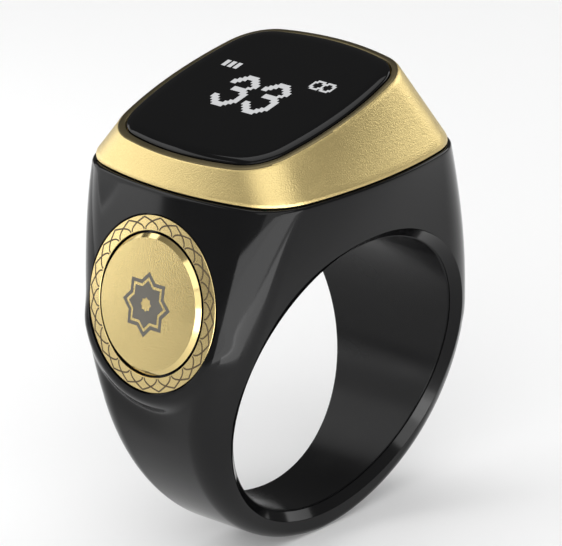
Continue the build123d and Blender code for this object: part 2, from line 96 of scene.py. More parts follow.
face_bow_growth = 3.0
face_steps, side_steps = 60, 76
fine = 240


def half_depth(height):
    """Half the body's depth along the finger at a height."""
    return axis_half_depth + face_flare * height


def rise_share(height):
    """How far a height is from the widest level up to the rim, from 0 to 1."""
    return max(0.0, (height - band_centre) / (rim_height - band_centre))


def soft_least(a, b, blend):
    """The lesser of two lengths, rounded off where they are close."""
    near = np.clip(blend - np.abs(a - b), 0, None) / blend
    return np.minimum(a, b) - near**2 * blend / 4


def half_length(height, side):
    """Length from the finger axis to one side of the body at a height."""
    widest = math.sqrt(body_half_length**2 - min(0, height - band_centre) ** 2)
    if side < 0:
        boss_line = (button_centre.z - height) * button_in.z / -button_in.x - button_centre.x
        rim_line = rim_half_length - button_side_rim + button_side_lean * (rim_height - height)
        leaning = -soft_least(-boss_line, -rim_line, side_blend)
        return soft_least(leaning, widest - button_side_narrow, 2 * side_blend)
    share = (height - band_centre) / (rim_height - band_centre)
    straight = body_half_length - (body_half_length - rim_half_length) * share
    leaning = straight + side_swell * share * (1 - share)
    return soft_least(leaning, widest, side_blend)


def bow_at(height, growth):
    """Radius of a bowed side: flat at the widest level, fully bowed at the rim."""
    share = rise_share(height) ** growth
    return 1 / (1 / flat_bow + (1 / rim_bow - 1 / flat_bow) * share)


def cushion_front(half_x, half_y, corner, side_bow, end_bow):
    """Front of one side of a cushion outline: half the bowed end, then the corner up to the side."""
    side = np.array([half_x - side_bow, 0.0])
    end = np.array([0.0, half_y - end_bow])
    apart = end - side
    span = np.linalg.norm(apart)
    along = ((side_bow - corner) ** 2 - (end_bow - corner) ** 2 + span**2) / (2 * span)
    across = math.sqrt((side_bow - corner) ** 2 - along**2)
    unit = apart / span
    centre = side + unit * along + np.array([-unit[1], unit[0]]) * across
    to_end = math.atan2(*(centre - end)[::-1])
    to_side = math.atan2(*(centre - side)[::-1])
    x = np.linspace(0, centre[0] + corner * math.cos(to_end), fine)
    bowed = np.stack([x, end[1] + np.sqrt(end_bow**2 - x**2)], axis=1)
    turn = np.linspace(to_end, to_side, fine)[1:]
    rounded = centre + corner * np.stack([np.cos(turn), np.sin(turn)], axis=1)
    return np.concatenate([bowed, rounded]) * (1, -1)


def band_front(angle, side):
    """Front of the band's section in a plane through the finger axis, as radius and depth."""
    up, across = math.sin(angle), math.cos(angle)
    outer = band_centre * up + math.sqrt(body_half_length**2 - (band_centre * across) ** 2)
    outer -= button_side_narrow * across**narrow_fade if side < 0 else 0
    corner = side_corner[side] - (side_corner[side] - bottom_corner) * abs(up) ** corner_fade
    slope = face_flare * up
    tilt = math.hypot(1, slope)
    centre = np.array([outer - corner, corner * tilt - slope * (outer - corner) - axis_half_depth])
    x = np.linspace(0, centre[0] - corner * slope / tilt, fine)
    face = np.stack([x, -axis_half_depth - slope * x], axis=1)
    turn = np.linspace(math.atan2(-1, -slope), 0, fine)[1:]
    return np.concatenate([face, centre + corner * np.stack([np.cos(turn), np.sin(turn)], axis=1)])


def even_points(path, start, count):
    """Evenly spaced points of a path, from where its first coordinate passes a start."""
    length = np.concatenate([[0], np.cumsum(np.linalg.norm(np.diff(path, axis=0), axis=1))])
    places = np.linspace(np.interp(start, path[:, 0], length), length[-1], count)
    return np.stack([np.interp(places, length, path[:, k]) for k in (0, 1)], axis=1)


def side_profile(front, side_bow, start):
    """Outline of one side of the body, from its front bore edge round to its back one."""
    face = even_points(front, start, face_steps)
    reach, edge = face[-1]
    y = np.linspace(edge, -edge, side_steps + 2)[1:-1]
    bulge = np.sqrt(side_bow**2 - y**2) - math.sqrt(side_bow**2 - edge**2)
    return np.concatenate([face, np.stack([reach + bulge, y], axis=1), face[::-1] * (1, -1)])


def head_row(height, side, start, inset=0.0):
    """Level row of the head at a height, drawn inwards by an inset."""
    grown = rise_share(height) ** corner_growth[side]
    corner = side_corner[side] + (rim_corner - side_corner[side]) * grown - inset
    side_bow = bow_at(height, side_bow_growth[side]) - inset
    end_bow = bow_at(height, face_bow_growth) - inset
    half_x, half_y = half_length(height, side) - inset, half_depth(height) - inset
    front = cushion_front(half_x, half_y, corner, side_bow, end_bow)
    flat = side_profile(front, side_bow, start)
    return np.stack([side * flat[:, 0], flat[:, 1], np.full(len(flat), height)], axis=1)


def band_row(angle, side):
    """Row of the band in a plane through the finger axis."""
    flat = side_profile(band_front(angle, side), flat_bow, bore_seat + bore_edge_round)
    radius = flat[:, 0]
    return np.stack([side * radius * math.cos(angle), flat[:, 1], radius * math.sin(angle)], axis=1)


def bore_row(row, angle, side):
    """The rounded bore edges and the wall between them that close a row of the body."""
    turn = np.linspace(0, math.pi / 2, 6)[:, None]
    outwards = np.array([side * math.cos(angle), 0, math.sin(angle)])
    inwards = np.array([0, bore_edge_round, 0])
    edge = -outwards * bore_edge_round * np.sin(turn) + inwards * (1 - np.cos(turn))
    return np.concatenate([row[0] + edge, (row[-1] + edge * (1, -1, 1))[::-1]])


def grid_faces(rows, first, round_columns=False, round_rows=False):
    """Four-sided faces between neighbouring rows of points, numbered from a first point on."""
    count, width = len(rows), len(rows[0])
    faces = []
    for i in range(count if round_rows else count - 1):
        low, high = first + i * width, first + (i + 1) % count * width
        for j in range(width if round_columns else width - 1):
            k = (j + 1) % width
            faces.append((low + j, low + k, high + k, high + j))
    return faces


def sewn_piece(name, grids, weld=1e-8):
    """Closed piece from grids of points, each with how it closes, welded where they meet."""
    points, faces = [], []
    for rows, round_columns, round_rows in grids:
        faces += grid_faces(rows, len(points), round_columns, round_rows)
        points += [tuple(point) for row in rows for point in row]
    mesh = bpy.data.meshes.new(name)
    mesh.from_pydata(points, [], faces)
    work = bmesh.new()
    work.from_mesh(mesh)
    bmesh.ops.remove_doubles(work, verts=work.verts, dist=weld)
    bmesh.ops.dissolve_degenerate(work, edges=work.edges, dist=weld)
    open_edges = [edge for edge in work.edges if edge.is_boundary]
    bmesh.ops.holes_fill(work, edges=open_edges, sides=0)
    bmesh.ops.recalc_face_normals(work, faces=work.faces)
    work.to_mesh(mesh)
    work.free()
    piece = bpy.data.objects.new(name, mesh)
    bpy.context.scene.collection.objects.link(piece)
    return piece


def smoothed(piece, crease=35):
    """Smooth shading everywhere but at edges sharper than a crease angle."""
    piece.data.polygons.foreach_set("use_smooth", [True] * len(piece.data.polygons))
    piece.data.set_sharp_from_angle(angle=math.radians(crease))
    return piece


def settle(piece):
    """Works a piece's modifiers into its mesh."""
    graph = bpy.context.evaluated_depsgraph_get()
    shape = bpy.data.meshes.new_from_object(piece.evaluated_get(graph))
    piece.modifiers.clear()
    piece.data = shape


def carved(piece, *cutters):
    """Piece with the cutters' shapes taken out of it."""
    for cutter in cutters:
        cut = piece.modifiers.new("cut", "BOOLEAN")
        cut.object = cutter
        cut.solver = "EXACT"
        settle(piece)
        bpy.data.objects.remove(cutter)
    return piece


# The button's own directions: in along its travel, and up along the boss face
press = next(joint for joint in frame["joints"] if joint["name"] == "button_press")
button_in = Vector(press["axis"]).normalized()
button_up = Vector((-button_in.z, 0, button_in.x))
plate_low, plate_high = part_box("trim_plate")
plate_middle = 0.3 * mm
button_centre = (plate_low + plate_high) / 2 - button_in * plate_middle
boss_radius, boss_margin = 5.95 * mm, 0.25 * mm
boss_round, boss_fillet = 0.6 * mm, 0.3 * mm
boss_fade, boss_reach = 3.0 * mm, 1.5 * mm
valley_depth, valley_place, valley_width, valley_half = 0.22 * mm, 1.3 * mm, 0.9 * mm, 5.2 * mm


def eased(share):
    """Share from 0 to 1 with a soft start and end."""
    share = np.clip(share, 0, 1)
    return share**2 * (3 - 2 * share)


def bossed(row):
    """Row of the button's side with the round boss on it, flush above and proud of the band below."""
    offset = row - np.array(button_centre)
    depth = offset @ np.array(button_in)
    rise = offset @ np.array(button_up)
    reach = np.hypot(rise, row[:, 1])
    lower = eased(-rise / boss_fade)
    past = np.clip(reach - boss_radius - boss_margin * lower, 0, None)
    raised = soft_least(depth, past**2 / (2 * boss_round), boss_fillet)
    valley = valley_depth * np.exp(-(((past - valley_place) / valley_width) ** 2))
    valley = valley * eased((valley_half - np.abs(row[:, 1])) / valley_half) * eased(past / valley_place)
    return row + np.outer((raised - depth + valley) * lower * (depth < boss_reach), np.array(button_in))


def turned(name, profile, steps=160):
    """Piece turned about the button's axis from a closed profile of radius and depth behind the boss."""
    turns = np.linspace(0, 2 * math.pi, steps, endpoint=False)
    rows = []
    for turn in turns:
        way = button_up * math.cos(turn) + Vector((0, math.sin(turn), 0))
        rows.append([button_centre + way * radius + button_in * depth for radius, depth in profile])
    return sewn_piece(name, [(rows, True, True)])


def bore_sector(name, inner, outer, half_angle, half_reach):
    """Curved block round the top of the bore."""
    rows = []
    for turn in np.radians(np.linspace(-half_angle, half_angle, 61)):
        way = np.array([math.sin(turn), 0, math.cos(turn)])
        y = np.array([0, half_reach, 0])
        rows.append([way * inner - y, way * outer - y, way * outer + y, way * inner + y])
    return sewn_piece(name, [(rows, True, False)])


def boxed(name, middle, ways, sizes):
    """Plain block along three directions, used to cut pockets."""
    rows = []
    for level in (-0.5, 0.5):
        row = []
        for a, b in [(-0.5, -0.5), (0.5, -0.5), (0.5, 0.5), (-0.5, 0.5)]:
            steps = (way * size * share for way, size, share in zip(ways, sizes, (a, b, level)))
            row.append(middle + sum(steps, Vector()))
        rows.append(row)
    return sewn_piece(name, [(rows, True, False)])


# Angles round the bore, closer together where the boss runs into the band, and levels above it
edge_radius = bore_seat + bore_edge_round
bore_turns = np.radians(np.concatenate([np.linspace(90, 32, 39), np.linspace(31, 0, 63)]))
band_turns = np.radians(np.linspace(0, -90, 56))[1:]
rim_turns = np.radians(np.linspace(90, 0, 7))
upper_levels = np.linspace(rim_height - rim_round, edge_radius, 22)[1:-1]
body_grids = []
top_rows = []
for side in (1, -1):
    rows = []
    for turn in rim_turns:
        height = rim_height - rim_round * (1 - math.sin(turn))
        rows.append(head_row(height, side, 0, rim_round * (1 - math.cos(turn))))
    rows += [head_row(height, side, 0) for height in upper_levels]
    beside_bore = []
    for turn in bore_turns:
        beside_bore.append(head_row(edge_radius * math.sin(turn), side, edge_radius * math.cos(turn)))
    beside_bore += [band_row(turn, side) for turn in band_turns]
    turns = np.concatenate([bore_turns, band_turns])
    bore_rows = [bore_row(row, turn, side) for row, turn in zip(beside_bore, turns)]
    rows += beside_bore
    if side < 0:
        rows = [bossed(row) for row in rows]
    body_grids += [(rows, False, False), (bore_rows, False, False)]
    top_rows.append(rows[0])
body_grids.append((top_rows, False, False))
ring_body = sewn_piece("ring_body", body_grids)

recess_radius, recess_depth = 5.98 * mm, 0.65 * mm
pocket_radius, pocket_depth = 5.45 * mm, 1.45 * mm
outside = -2.0 * mm
button_recess = turned("button_recess", [
    (0, outside), (recess_radius, outside), (recess_radius, recess_depth),
    (pocket_radius, recess_depth), (pocket_radius, pocket_depth), (0, pocket_depth),
])
switch_sizes, switch_depth = (3.0 * mm, 3.4 * mm, 1.6 * mm), 1.8 * mm
switch_middle = button_centre + button_in * switch_depth
switch_ways = (button_up, Vector((0, 1, 0)), button_in)
switch_pocket = boxed("switch_pocket", switch_middle, switch_ways, switch_sizes)
cavity_sizes = (17.2 * mm, 16.0 * mm, 5.0 * mm)
cavity_floor = 11.3 * mm
upright = (Vector((1, 0, 0)), Vector((0, 1, 0)), Vector((0, 0, 1)))
cavity = boxed("cavity", Vector((0, 0, cavity_floor + cavity_sizes[2] / 2)), upright, cavity_sizes)
opening_inner, opening_half_angle, opening_half_reach = 9.3 * mm, 40.2, 5.03 * mm
seat_outer = 10.88 * mm
cover_seat = bore_sector("cover_seat", opening_inner, seat_outer, opening_half_angle, opening_half_reach)
ring_body = smoothed(carved(ring_body, button_recess, switch_pocket, cavity, cover_seat))


def grain_group():
    """Shared effect: fine grain, and broad soft smudges as left by polishing and handling."""
    group = bpy.data.node_groups.new("surface_grain", "ShaderNodeTree")
    group.interface.new_socket("Grain Scale", in_out="INPUT", socket_type="NodeSocketFloat")
    group.interface.new_socket("Smudge Scale", in_out="INPUT", socket_type="NodeSocketFloat")
    group.interface.new_socket("Grain", in_out="OUTPUT", socket_type="NodeSocketFloat")
    group.interface.new_socket("Smudge", in_out="OUTPUT", socket_type="NodeSocketFloat")
    start, end = group.nodes.new("NodeGroupInput"), group.nodes.new("NodeGroupOutput")
    place = group.nodes.new("ShaderNodeTexCoord")
    for name, detail in (("Grain", 4.0), ("Smudge", 3.0)):
        noise = group.nodes.new("ShaderNodeTexNoise")
        noise.inputs["Detail"].default_value = detail
        group.links.new(place.outputs["Object"], noise.inputs["Vector"])
        group.links.new(start.outputs[name + " Scale"], noise.inputs["Scale"])
        group.links.new(noise.outputs["Fac"], end.inputs[name])
    return group


surface_grain = grain_group()
colour_span, rough_span = (0.35, 0.65), (0.3, 0.7)


def finish(name, dark, light, rough, grain_size, smudge_size, bump=0.0, grain_share=0.5, **sockets):
    """Finish between two colours and two roughnesses, driven by grain and smudges of given sizes."""
    material = bpy.data.materials.new(name)
    material.use_nodes = True
    nodes, links = material.node_tree.nodes, material.node_tree.links
    shader = nodes["Principled BSDF"]
    for socket, value in sockets.items():
        shader.inputs[socket.replace("_", " ")].default_value = value
    grain = nodes.new("ShaderNodeGroup")
    grain.node_tree = surface_grain
    grain.inputs["Grain Scale"].default_value = 1 / grain_size
    grain.inputs["Smudge Scale"].default_value = 1 / smudge_size
    both = nodes.new("ShaderNodeMix")
    both.inputs["Factor"].default_value = grain_share
    links.new(grain.outputs["Smudge"], both.inputs["A"])
    links.new(grain.outputs["Grain"], both.inputs["B"])
    colour = nodes.new("ShaderNodeValToRGB")
    first, last = colour.color_ramp.elements
    first.position, last.position = colour_span
    first.color, last.color = (*dark, 1), (*light, 1)
    links.new(both.outputs["Result"], colour.inputs["Fac"])
    links.new(colour.outputs["Color"], shader.inputs["Base Color"])
    spread = nodes.new("ShaderNodeMapRange")
    spread.inputs["From Min"].default_value, spread.inputs["From Max"].default_value = rough_span
    spread.inputs["To Min"].default_value, spread.inputs["To Max"].default_value = rough
    links.new(grain.outputs["Smudge"], spread.inputs["Value"])
    links.new(spread.outputs["Result"], shader.inputs["Roughness"])
    if bump:
        relief = nodes.new("ShaderNodeBump")
        relief.inputs["Strength"].default_value = bump
        relief.inputs["Distance"].default_value = grain_size
        links.new(grain.outputs["Grain"], relief.inputs["Height"])
        links.new(relief.outputs["Normal"], shader.inputs["Normal"])
    return material


def dressed(piece, material, body, slot, *nodes):
    """Piece with its finish, riding on its body in place of the nodes that it stands for."""
    piece.data.materials.clear()
    piece.data.materials.append(material)
    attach(piece, body)
    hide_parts(*nodes)
    return piece


piano_black = finish(
    "piano_black", dark=(0.0022, 0.0022, 0.0024), light=(0.0034, 0.0034, 0.0036), rough=(0.08, 0.12),
    grain_size=0.05 * mm, smudge_size=6 * mm, IOR=1.28,
)
dressed(ring_body, piano_black, "body", "gloss_black", "ring_shell")

# Liner of the finger bore
# A separate sleeve in the same black plastic, pushed into the body from the front. Its wall is a shade less
# polished than its bevelled ends, which leave a thin seam, and its top is open for the contact panel.
liner_inner, liner_outer = 10.0 * mm, 10.69 * mm
liner_bevel, liner_groove = 0.58 * mm, 0.06 * mm
polished_share = 0.9


def liner_row(turn):
    """Closed section of the sleeve at an angle round the bore, with a fine groove and bevel at each end."""
    way = np.array([math.sin(turn), 0, math.cos(turn)])
    step = liner_outer - liner_bevel
    profile = [
        (liner_inner, liner_bevel + 2 * liner_groove),
        (liner_inner + liner_groove / 2, liner_bevel + liner_groove),
        (step + 2 * liner_groove, liner_bevel + liner_groove),
        (step, liner_bevel),
        (liner_outer, 0),
    ]
    front = []
    for radius, inset in profile:
        y = half_depth(radius * math.cos(turn)) - inset
        front.append(way * radius - np.array([0, y, 0]))
    back = [point * (1, -1, 1) for point in front[::-1]]
    return front + back


liner_rows = [liner_row(turn) for turn in np.radians(np.linspace(0, 360, 241))[:-1]]
liner = sewn_piece("bore_liner", [(liner_rows, True, True)])
opening_outer = 10.9 * mm
liner_opening = bore_sector(
    "liner_opening", opening_inner, opening_outer, opening_half_angle, opening_half_reach
)
liner = smoothed(carved(liner, liner_opening), crease=25)
liner_black = finish(
    "liner_black", dark=(0.003, 0.003, 0.0032), light=(0.0045, 0.0045, 0.0048), rough=(0.2, 0.28),
    grain_size=0.04 * mm, smudge_size=5 * mm, IOR=1.23,
)
dressed(liner, liner_black, "body", "liner_black", "inner_liner")
liner.data.materials.append(piano_black)
for face in liner.data.polygons:
    if math.hypot(face.center.x, face.center.z) > liner_outer - polished_share * liner_bevel:
        face.material_index = 1

# Contact panel in the top of the bore
# A curved cover in black plastic, set a little back, that closes the opening in the liner.
# Two gold-plated pins stand in its holes, for the charger to touch.
panel_black = finish(
    "panel_black", dark=(0.002, 0.002, 0.0022), light=(0.003, 0.003, 0.0032), rough=(0.2, 0.28),
    grain_size=0.03 * mm, smudge_size=4 * mm, bump=0.05, IOR=1.1,
)
plated_pin = finish(
    "plated_pin", dark=(0.62, 0.42, 0.14), light=(0.78, 0.56, 0.22), rough=(0.2, 0.34),
    grain_size=0.03 * mm, smudge_size=1 * mm, Metallic=1.0,
)


def repaint(material, *names):
    """CAD nodes that keep their shape and take a fuller finish."""
    for name in names:
        frame["nodes"][name].data.materials.clear()
        frame["nodes"][name].data.materials.append(material)


repaint(panel_black, "contact_cover")
repaint(plated_pin, "charging_contacts")

# Bezel and its gasket
# A wedge-shaped frame in bead-blasted gold-coloured metal, low over the button and high at the far side.
# A short upright foot stands on a black rubber gasket. The rolled lip round the glass has painted shade.
display_tilt = math.radians(13.2)
display_centre = Vector((-0.95 * mm, 0, 18.748 * mm))
display_up = Vector((math.cos(display_tilt), 0, math.sin(display_tilt)))
display_out = Vector((-math.sin(display_tilt), 0, math.cos(display_tilt)))
bezel_level, foot_top = 14.89 * mm, 15.14 * mm
rim_ledge = 0.22 * mm
rim_half_depth = half_depth(rim_height)
glass_half_length, glass_half_depth = 7.65 * mm, 7.59 * mm
glass_corner, glass_bow = 3.0 * mm, 22.4 * mm
glass_gap, lip_width, lip_round, lip_shade_depth = 0.08 * mm, 0.5 * mm, 0.3 * mm, 0.06 * mm
end_steps, corner_steps = 28, 20


def cushion_loop(half_x, half_y, corner, bow, grow=0.0):
    """Whole cushion outline with evenly spread points on each bowed side and in each corner."""
    front = cushion_front(half_x + grow, half_y + grow, corner + grow, bow + grow, bow + grow)
    bowed = even_points(front[:fine], 0, end_steps)
    rounded = even_points(front[fine - 1:], front[fine - 1, 0], corner_steps)[1:]
    edge = rounded[-1]
    y = np.linspace(edge[1], 0, end_steps)[1:]
    x = half_x - bow + np.sqrt((bow + grow) ** 2 - y**2)
    quarter = np.concatenate([bowed, rounded, np.stack([x, y], axis=1)])
    half = np.concatenate([quarter, quarter[-2::-1] * (1, -1)])
    return np.concatenate([half, half[-2:0:-1] * (-1, 1)])


def glass_loop(grow, depth):
    """Outline of the glass, grown by a distance, at a depth below the bezel's lip."""
    flat = cushion_loop(glass_half_length, glass_half_depth, glass_corner, glass_bow, grow)
    return [display_centre + display_up * x + Vector((0, y, 0)) - display_out * depth for x, y in flat]


def rim_loop(grow, height):
    """Outline of the bezel's foot, grown by a distance, at a height."""
    flat = cushion_loop(rim_half_length, rim_half_depth, rim_corner, rim_bow, grow)
    return [Vector((x, y, height)) for x, y in flat]


def dropped(loop, height):
    """Loop let down along the display's normal to a height."""
    return [point - display_out * ((point.z - height) / display_out.z) for point in loop]


def between(low, high, share):
    """Loop part of the way from one loop to another."""
    return [a.lerp(b, share) for a, b in zip(low, high)]


foot_edge = 0.05 * mm
seat_depth, web_depth = 0.7 * mm, 1.15 * mm
window_inset, pocket_inset, pocket_foot_inset = -1.3 * mm, -0.2 * mm, -0.5 * mm
foot_share, lip_share = 0.02, 0.93
wall_shares = np.linspace(0.1, 0.9, 9)
foot_loop = rim_loop(-rim_ledge, foot_top)
lip_loop = glass_loop(glass_gap + lip_width, 0)
bezel_rows = [rim_loop(-rim_ledge - foot_edge, bezel_level), rim_loop(-rim_ledge, bezel_level + foot_edge)]
bezel_rows += [rim_loop(-rim_ledge, foot_top - foot_edge), between(foot_loop, lip_loop, foot_share)]
bezel_rows += [between(foot_loop, lip_loop, share) for share in wall_shares]
lip_start = between(foot_loop, lip_loop, lip_share)
lip_end = glass_loop(glass_gap + lip_width - lip_round, 0)
for turn in np.linspace(0, 1, 8):
    first, last = between(lip_start, lip_loop, turn), between(lip_loop, lip_end, turn)
    bezel_rows.append(between(first, last, turn))
bezel_rows += [glass_loop(glass_gap + foot_edge, 0), glass_loop(glass_gap, foot_edge)]
bezel_rows += [glass_loop(glass_gap, seat_depth), glass_loop(window_inset, seat_depth)]
bezel_rows += [glass_loop(window_inset, web_depth), glass_loop(pocket_inset, web_depth)]
bezel_rows += [dropped(glass_loop(pocket_foot_inset, web_depth), bezel_level)]
bezel = smoothed(sewn_piece("gold_bezel", [(bezel_rows, True, True)]), crease=28)
blasted_gold = finish(
    "blasted_gold", dark=(0.60, 0.47, 0.205), light=(0.72, 0.57, 0.255), rough=(0.33, 0.38),
    grain_size=0.095 * mm, smudge_size=5 * mm, bump=0.28, grain_share=0.6, Metallic=1.0,
)
dressed(bezel, blasted_gold, "body", "satin_gold", "bezel")
# Dark gold on the lip round the glass is painted shade, as if the lip lay in shadow.
lip_painted_shade = finish(
    "lip_painted_shade", dark=(0.12, 0.098, 0.05), light=(0.17, 0.138, 0.07), rough=(0.3, 0.38),
    grain_size=0.055 * mm, smudge_size=5 * mm, bump=0.1, grain_share=0.6, Metallic=1.0,
)
bezel.data.materials.append(lip_painted_shade)
# Faces of the lip nearest the glass take the painted shade.
for face in bezel.data.polygons:
    if (face.center - display_centre).dot(display_out) > -lip_shade_depth:
        face.material_index = 1
black_rubber = finish(
    "black_rubber", dark=(0.006, 0.006, 0.006), light=(0.011, 0.011, 0.011), rough=(0.6, 0.8),
    grain_size=0.04 * mm, smudge_size=2 * mm, bump=0.1,
)
repaint(black_rubber, "bezel_gasket")

# Cover glass and the lit display
# Black-backed cover glass with a wide, softly curved edge, glued into the bezel. The display under it
# lights single square dots: three status bars, the count and a status sign.
glass_proud, glass_bottom = 0.25 * mm, 0.65 * mm
glass_edge_width, glass_edge_drop = 0.95 * mm, 0.24 * mm
glass_foot_edge, glass_flat_inset = 0.05 * mm, 0.4 * mm
glass_rows = [glass_loop(-glass_foot_edge, glass_bottom), glass_loop(0, glass_bottom - glass_foot_edge)]
for turn in np.radians(np.linspace(0, 90, 14)):
    inset = glass_edge_width * (1 - math.cos(turn))
    glass_rows.append(glass_loop(-inset, glass_edge_drop * (1 - math.sin(turn)) - glass_proud))
glass_rows.append(glass_loop(-glass_edge_width - glass_flat_inset, -glass_proud))
glass = smoothed(sewn_piece("cover_glass", [(glass_rows, True, False)]), crease=40)
dark_glass = finish(
    "dark_glass", dark=(0.0025, 0.0025, 0.0027), light=(0.0035, 0.0035, 0.0037), rough=(0.04, 0.07),
    grain_size=0.05 * mm, smudge_size=8 * mm, IOR=1.25,
)
dressed(glass, dark_glass, "body", "cover_glass", "display_glass")

digit_dot, sign_dot = 0.243 * mm, 0.18 * mm
dot_lift = 0.004 * mm
digit_three = """
...####...
..######..
.###..###.
###....###
##......##
.......##.
...#####..
...######.
.......###
........##
........##
##......##
###....###
.###..###.
..######..
...####...
"""
status_bars = "##.##.##\n" * 4
status_sign = """
.####.####.
##..###..##
#....#....#
#....#....#
##..###..##
.####.####.
"""
first_digit, second_digit = (-2.965 * mm, 1.61 * mm), (-0.125 * mm, 1.67 * mm)
bars_place, sign_place = (-5.26 * mm, 2.6 * mm), (2.74 * mm, 3.0 * mm)
shown = [(digit_three, first_digit, digit_dot), (digit_three, second_digit, digit_dot)]
shown += [(status_bars, bars_place, sign_dot), (status_sign, sign_place, sign_dot)]
thick = display_out * 2 * dot_lift
dot_faces = []
for drawing, (left, top), dot in shown:
    across, down = Vector((0, -dot, 0)), -display_up * dot
    lines = drawing.split()
    lit = {(i, j) for i, line in enumerate(lines) for j, mark in enumerate(line) if mark == "#"}
    start = display_centre + display_up * top - Vector((0, left, 0))
    start += display_out * (glass_proud - dot_lift)
    for i, j in sorted(lit):
        a = start + down * i + across * j
        b, c, d = a + across, a + across + down, a + down
        dot_faces += [[[a, b], [d, c]], [[a + thick, b + thick], [d + thick, c + thick]]]
        edges = {(i - 1, j): (a, b), (i, j + 1): (b, c), (i + 1, j): (c, d), (i, j - 1): (d, a)}
        for place, ends in edges.items():
            if place not in lit:
                dot_faces.append([ends, [end + thick for end in ends]])
lit_dots = sewn_piece("lit_dots", [(face, False, False) for face in dot_faces])
lit_white = finish(
    "lit_white", dark=(0.1, 0.1, 0.1), light=(0.13, 0.13, 0.13), rough=(0.4, 0.5),
    grain_size=0.1 * mm, smudge_size=2 * mm, Emission_Color=(0.97, 0.98, 1.0, 1), Emission_Strength=0.5,
)
dressed(lit_dots, lit_white, "body", "display_panel")

# Trim plate round the button
# A slightly coned ring of gold-coloured metal that holds the button in, set into the boss. Pointed arches
# are engraved round it, each crossing its neighbours, and filled with dark brown lacquer.
plate_inner, plate_outer = 4.85 * mm, 5.87 * mm
plate_front, plate_back, plate_edge = 0.0 * mm, 0.65 * mm, 0.025 * mm
plate_slope = 0.07
plate_fall = plate_slope * (plate_outer - plate_inner)
plate_profile = [
    (plate_inner, plate_back),
    (plate_outer, plate_back),
    (plate_outer, plate_front + plate_fall + plate_edge),
    (plate_outer - plate_edge, plate_front + plate_fall),
    (plate_inner + plate_edge, plate_front),
    (plate_inner, plate_front + plate_edge),
]
plate = smoothed(turned("trim_ring", plate_profile), crease=30)
brushed_gold = finish(
    "brushed_gold", dark=(0.55, 0.43, 0.193), light=(0.645, 0.508, 0.24), rough=(0.24, 0.28),
    grain_size=0.05 * mm, smudge_size=4 * mm, bump=0.1, grain_share=0.6, Metallic=1.0,
)
dressed(plate, brushed_gold, "body", "satin_gold", "trim_plate")


def part_painted(piece, material, chosen):
    """Second finish on the faces of a turned piece chosen by their radius and depth."""
    piece.data.materials.append(material)
    for face in piece.data.polygons:
        offset = face.center - button_centre
        depth = offset.dot(button_in)
        if chosen((offset - button_in * depth).length, depth):
            face.material_index = len(piece.data.materials) - 1


# Walls inside the gaps round the plate are painted black: painted shade, so each gap reads as a dark line.
paint_margin = 0.01 * mm
part_painted(
    plate, piano_black,
    lambda radius, depth: radius < plate_inner + paint_margin and depth > plate_front + plate_edge,
)
part_painted(
    plate, piano_black,
    lambda radius, depth: radius > plate_outer - paint_margin and depth > plate_front + 3 * plate_edge,
)

arch_count = 24
arch_base, arch_tip = 4.93 * mm, 5.76 * mm
arch_line, arch_lift, arch_depth = 0.112 * mm, 0.004 * mm, 0.05 * mm
arch_curve = np.array([(0.94, 0.0), (0.94, 0.42), (0.42, 0.66), (0.0, 1.0)])
arch_pitch = 2 * math.pi / arch_count


def arch_points(steps=18):
    """Middle line of one arch in the plate's plane, from its left foot over the tip to its right one."""
    t = np.linspace(0, 1, steps)[:, None]
    weights = np.concatenate([(1 - t) ** 3, 3 * t * (1 - t) ** 2, 3 * t**2 * (1 - t), t**3], axis=1)
    half = weights @ arch_curve
    radius = arch_base + (arch_tip - arch_base) * half[:, 1]
    turn = arch_pitch * half[:, 0]
    right = np.stack([radius * np.sin(turn), radius * np.cos(turn)], axis=1)
    return np.concatenate([right * (-1, 1), right[-2::-1]])


def ribbon(name, path, width, low, high):
    """Flat strip of one width along a path in a plane, between two levels."""
    along = np.gradient(path, axis=0)
    along /= np.linalg.norm(along, axis=1)[:, None]
    aside = np.stack([-along[:, 1], along[:, 0]], axis=1) * width / 2
    rows = []
    for point, step in zip(path, aside):
        left, right = point - step, point + step
        rows.append([(*left, low), (*right, low), (*right, high), (*left, high)])
    return sewn_piece(name, [(rows, True, False)])


def round_pattern(material):
    """Geometry tree that sets copies of a shape round a centre and gives them a material."""
    tree = bpy.data.node_groups.new("round_pattern", "GeometryNodeTree")
    tree.interface.new_socket("Shape", in_out="INPUT", socket_type="NodeSocketGeometry")
    count = tree.interface.new_socket("Count", in_out="INPUT", socket_type="NodeSocketInt")
    pitch = tree.interface.new_socket("Pitch", in_out="INPUT", socket_type="NodeSocketFloat")
    tree.interface.new_socket("Pattern", in_out="OUTPUT", socket_type="NodeSocketGeometry")
    start, end = tree.nodes.new("NodeGroupInput"), tree.nodes.new("NodeGroupOutput")
    line = tree.nodes.new("GeometryNodeMeshLine")
    line.inputs["Offset"].default_value = (0, 0, 0)
    index = tree.nodes.new("GeometryNodeInputIndex")
    turn = tree.nodes.new("ShaderNodeMath")
    turn.operation = "MULTIPLY"
    spin = tree.nodes.new("ShaderNodeCombineXYZ")
    place = tree.nodes.new("GeometryNodeInstanceOnPoints")
    real = tree.nodes.new("GeometryNodeRealizeInstances")
    paint = tree.nodes.new("GeometryNodeSetMaterial")
    paint.inputs["Material"].default_value = material
    tree.links.new(start.outputs["Count"], line.inputs["Count"])
    tree.links.new(index.outputs["Index"], turn.inputs[0])
    tree.links.new(start.outputs["Pitch"], turn.inputs[1])
    tree.links.new(turn.outputs["Value"], spin.inputs["Z"])
    tree.links.new(line.outputs["Mesh"], place.inputs["Points"])
    tree.links.new(start.outputs["Shape"], place.inputs["Instance"])
    tree.links.new(spin.outputs["Vector"], place.inputs["Rotation"])
    tree.links.new(place.outputs["Instances"], real.inputs["Geometry"])
    tree.links.new(real.outputs["Geometry"], paint.inputs["Geometry"])
    tree.links.new(paint.outputs["Geometry"], end.inputs["Pattern"])
    return tree, count.identifier, pitch.identifier


